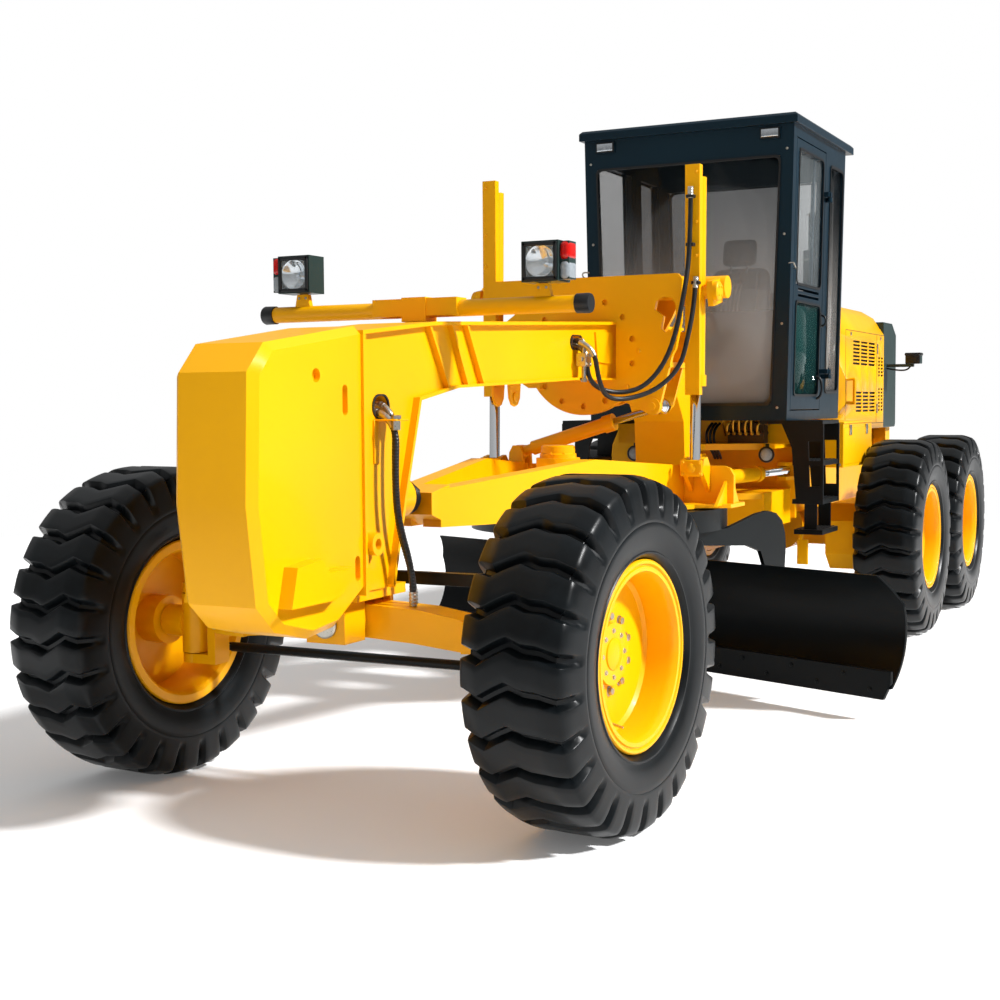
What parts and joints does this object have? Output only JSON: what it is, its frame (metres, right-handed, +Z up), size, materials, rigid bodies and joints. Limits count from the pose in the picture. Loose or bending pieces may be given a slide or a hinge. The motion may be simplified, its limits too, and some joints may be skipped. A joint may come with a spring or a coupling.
{
  "type": "motor grader",
  "caption": "Motor grader with an articulated frame, leaning front wheels, tandem rear drive, closed cab, and a curved blade on a turning circle under a raised front beam.",
  "frame": {"origin": "on the ground, under the middle of the bounding box", "axes": "-Y is the front of the machine, +X its left side, +Z up"},
  "size_m": [3.4104, 8.858, 3.385],
  "materials": {
    "yellow_paint": "gloss",
    "cab_paint": "satin",
    "black_paint": "satin",
    "tyre_rubber": "matt",
    "hose_rubber": "matt",
    "tinted_glass": "tinted",
    "chrome_rod": "polished",
    "lamp_plastic": "gloss",
    "cab_plastic": "matt",
    "seat_cloth": "woven",
    "engine_iron": "painted casting",
    "valve_iron": "painted casting"
  },
  "bodies": {
    "rear_frame": {"rear_frame": "yellow_paint", "tandem_axle": "yellow_paint", "powertrain_block": "engine_iron", "hood": "yellow_paint", "radiator_housing": "black_paint", "exhaust_stack": "black_paint", "cab_frame": "cab_paint", "cab_roof": "cab_paint", "cab_glass": "tinted_glass", "cab_console": "cab_plastic", "seat": "seat_cloth", "side_boxes": "yellow_paint", "access_steps": "black_paint", "valve_bank": "valve_iron"},
    "front_frame": {"front_frame": "yellow_paint", "nose_block": "yellow_paint", "saddle": "yellow_paint", "light_bar": "yellow_paint", "headlamps": "lamp_plastic", "leg_hoses": "hose_rubber", "beam_hoses": "hose_rubber", "front_axle": "yellow_paint"},
    "lean_bar": {"lean_bar": "black_paint"},
    "tie_rod_end": {"tie_rod_end": "black_paint"},
    "tie_rod": {"tie_rod": "black_paint"},
    "drawbar": {"drawbar": "yellow_paint"},
    "circle": {"circle": "black_paint"},
    "blade_carrier": {"blade_carrier": "black_paint"},
    "moldboard": {"moldboard": "black_paint"},
    "shift_barrel": {"shift_barrel": "yellow_paint"},
    "shift_rod": {"shift_rod": "chrome_rod"},
    "lean_yoke_left": {"lean_yoke_left": "yellow_paint"},
    "knuckle_left": {"knuckle_left": "yellow_paint"},
    "lift_barrel_left": {"lift_barrel_left": "yellow_paint"},
    "lift_rod_left": {"lift_rod_left": "chrome_rod"},
    "artic_barrel_left": {"artic_barrel_left": "yellow_paint"},
    "artic_rod_left": {"artic_rod_left": "chrome_rod"},
    "cab_door_left": {"cab_door_left": "cab_paint", "door_glass_left": "tinted_glass"},
    "front_wheel_left": {"front_tyre_left": "tyre_rubber", "front_rim_left": "yellow_paint"},
    "mid_wheel_left": {"mid_tyre_left": "tyre_rubber", "mid_rim_left": "yellow_paint"},
    "rear_wheel_left": {"rear_tyre_left": "tyre_rubber", "rear_rim_left": "yellow_paint"},
    "lean_yoke_right": {"lean_yoke_right": "yellow_paint"},
    "knuckle_right": {"knuckle_right": "yellow_paint"},
    "lift_barrel_right": {"lift_barrel_right": "yellow_paint"},
    "lift_rod_right": {"lift_rod_right": "chrome_rod"},
    "artic_barrel_right": {"artic_barrel_right": "yellow_paint"},
    "artic_rod_right": {"artic_rod_right": "chrome_rod"},
    "cab_door_right": {"cab_door_right": "cab_paint", "door_glass_right": "tinted_glass"},
    "front_wheel_right": {"front_tyre_right": "tyre_rubber", "front_rim_right": "yellow_paint"},
    "mid_wheel_right": {"mid_tyre_right": "tyre_rubber", "mid_rim_right": "yellow_paint"},
    "rear_wheel_right": {"rear_tyre_right": "tyre_rubber", "rear_rim_right": "yellow_paint"}
  },
  "joints": [
    {"name": "articulation", "type": "hinge", "parent": "rear_frame", "child": "front_frame", "pos_m": [0, 0.479, 1.17], "axis": [0, 0, 1], "range_deg": [-20, 20]},
    {"name": "artic_barrel_left_turn", "type": "hinge", "parent": "front_frame", "child": "artic_barrel_left", "pos_m": [0.33, 0.129, 1.15], "axis": [0, 0, 1], "range_deg": [-18, 18]},
    {"name": "artic_rod_left_slide", "type": "slide", "parent": "artic_barrel_left", "child": "artic_rod_left", "axis": [0.0815, 0.9967, 0], "range_m": [-0.15, 0.15]},
    {"name": "lean_left", "type": "hinge", "parent": "front_frame", "child": "lean_yoke_left", "pos_m": [0.66, -3.471, 0.7], "axis": [0, 1, 0], "range_deg": [-17, 17]},
    {"name": "steer_left", "type": "hinge", "parent": "lean_yoke_left", "child": "knuckle_left", "pos_m": [0.84, -3.471, 0.674], "axis": [0, 0, 1], "range_deg": [-40.34, 49.66]},
    {"name": "front_wheel_left_roll", "type": "hinge", "parent": "knuckle_left", "child": "front_wheel_left", "pos_m": [1.06924, -3.48969, 0.674], "axis": [0.9967, -0.0812, 0], "continuous": true},
    {"name": "mid_wheel_left_roll", "type": "hinge", "parent": "rear_frame", "child": "mid_wheel_left", "pos_m": [1.07, 1.964, 0.674], "axis": [1, 0, 0], "continuous": true},
    {"name": "rear_wheel_left_roll", "type": "hinge", "parent": "rear_frame", "child": "rear_wheel_left", "pos_m": [1.07, 3.494, 0.674], "axis": [1, 0, 0], "continuous": true},
    {"name": "lift_barrel_left_swing", "type": "hinge", "parent": "front_frame", "child": "lift_barrel_left", "pos_m": [0.6, -1.051, 2.2], "axis": [1, 0, 0], "range_deg": [-3, 3]},
    {"name": "lift_rod_left_slide", "type": "slide", "parent": "lift_barrel_left", "child": "lift_rod_left", "axis": [0, 0.0215, 0.9998], "range_m": [-0.1, 0.27]},
    {"name": "cab_door_left_swing", "type": "hinge", "parent": "rear_frame", "child": "cab_door_left", "pos_m": [0.72, 1.229, 2.4], "axis": [0, 0, 1], "range_deg": [0, 90]},
    {"name": "artic_barrel_right_turn", "type": "hinge", "parent": "front_frame", "child": "artic_barrel_right", "pos_m": [-0.33, 0.129, 1.15], "axis": [0, 0, 1], "range_deg": [-18, 18]},
    {"name": "artic_rod_right_slide", "type": "slide", "parent": "artic_barrel_right", "child": "artic_rod_right", "axis": [-0.0815, 0.9967, 0], "range_m": [-0.15, 0.15]},
    {"name": "lean_right", "type": "hinge", "parent": "front_frame", "child": "lean_yoke_right", "pos_m": [-0.66, -3.471, 0.7], "axis": [0, 1, 0], "range_deg": [-17, 17]},
    {"name": "steer_right", "type": "hinge", "parent": "lean_yoke_right", "child": "knuckle_right", "pos_m": [-0.84, -3.471, 0.674], "axis": [0, 0, 1], "range_deg": [-40.34, 49.66]},
    {"name": "front_wheel_right_roll", "type": "hinge", "parent": "knuckle_right", "child": "front_wheel_right", "pos_m": [-1.06924, -3.45231, 0.674], "axis": [0.9967, -0.0812, 0], "continuous": true},
    {"name": "mid_wheel_right_roll", "type": "hinge", "parent": "rear_frame", "child": "mid_wheel_right", "pos_m": [-1.07, 1.964, 0.674], "axis": [1, 0, 0], "continuous": true},
    {"name": "rear_wheel_right_roll", "type": "hinge", "parent": "rear_frame", "child": "rear_wheel_right", "pos_m": [-1.07, 3.494, 0.674], "axis": [1, 0, 0], "continuous": true},
    {"name": "lift_barrel_right_swing", "type": "hinge", "parent": "front_frame", "child": "lift_barrel_right", "pos_m": [-0.6, -1.051, 2.2], "axis": [1, 0, 0], "range_deg": [-3, 3]},
    {"name": "lift_rod_right_slide", "type": "slide", "parent": "lift_barrel_right", "child": "lift_rod_right", "axis": [0, 0.0215, 0.9998], "range_m": [-0.1, 0.27]},
    {"name": "cab_door_right_swing", "type": "hinge", "parent": "rear_frame", "child": "cab_door_right", "pos_m": [-0.72, 1.229, 2.4], "axis": [0, 0, -1], "range_deg": [0, 90]},
    {"name": "lean_bar_swing", "type": "hinge", "parent": "lean_yoke_left", "child": "lean_bar", "pos_m": [0.66, -3.321, 0.9], "axis": [0, 1, 0], "range_deg": [-18, 18]},
    {"name": "tie_rod_end_turn", "type": "hinge", "parent": "knuckle_left", "child": "tie_rod_end", "pos_m": [0.85544, -3.28163, 0.54], "axis": [0, 0, 1], "range_deg": [-50, 50]},
    {"name": "tie_rod_tilt", "type": "hinge", "parent": "tie_rod_end", "child": "tie_rod", "pos_m": [0.85544, -3.28163, 0.54], "axis": [0, 1, 0], "range_deg": [-18, 18]},
    {"name": "drawbar_lift", "type": "hinge", "parent": "front_frame", "child": "drawbar", "pos_m": [0, -3.171, 1.22], "axis": [1, 0, 0], "range_deg": [-2.2, 7]},
    {"name": "shift_barrel_swing", "type": "hinge", "parent": "drawbar", "child": "shift_barrel", "pos_m": [-0.45, -1.041, 1.34], "axis": [0, 1, 0], "range_deg": [-22, 22]},
    {"name": "shift_rod_slide", "type": "slide", "parent": "shift_barrel", "child": "shift_rod", "axis": [0.9578, 0, 0.2873], "range_m": [-0.1, 0.1]},
    {"name": "circle_turn", "type": "hinge", "parent": "drawbar", "child": "circle", "pos_m": [0, -0.971, 1.045], "axis": [0, 0, 1], "continuous": true},
    {"name": "blade_tip", "type": "hinge", "parent": "circle", "child": "blade_carrier", "pos_m": [0.24979, -0.29572, 0.36], "axis": [0.9379, -0.3469, 0], "range_deg": [-5, 40]},
    {"name": "blade_shift", "type": "slide", "parent": "blade_carrier", "child": "moldboard", "axis": [0.9379, -0.3469, 0], "range_m": [-0.36, 0.74]}
  ],
  "couplings": [
    {"joint": "artic_barrel_left_turn", "follows": "articulation", "ratio": -0.713},
    {"joint": "artic_rod_left_slide", "follows": "articulation", "m_per_rad": -0.3545},
    {"joint": "lift_barrel_left_swing", "follows": "drawbar_lift", "ratio": -0.264},
    {"joint": "lift_rod_left_slide", "follows": "drawbar_lift", "m_per_rad": 2.087},
    {"joint": "artic_barrel_right_turn", "follows": "articulation", "ratio": -0.713},
    {"joint": "artic_rod_right_slide", "follows": "articulation", "m_per_rad": 0.3545},
    {"joint": "lift_barrel_right_swing", "follows": "drawbar_lift", "ratio": -0.264},
    {"joint": "lift_rod_right_slide", "follows": "drawbar_lift", "m_per_rad": 2.087},
    {"joint": "lean_right", "follows": "lean_left", "ratio": 1},
    {"joint": "steer_right", "follows": "steer_left", "ratio": 1},
    {"joint": "lean_bar_swing", "follows": "lean_left", "ratio": -1},
    {"joint": "tie_rod_end_turn", "follows": "steer_left", "ratio": -1},
    {"joint": "tie_rod_tilt", "follows": "lean_left", "ratio": -0.787},
    {"joint": "shift_barrel_swing", "follows": "drawbar_lift", "ratio": 2.4015},
    {"joint": "shift_rod_slide", "follows": "drawbar_lift", "m_per_rad": -0.3995}
  ]
}
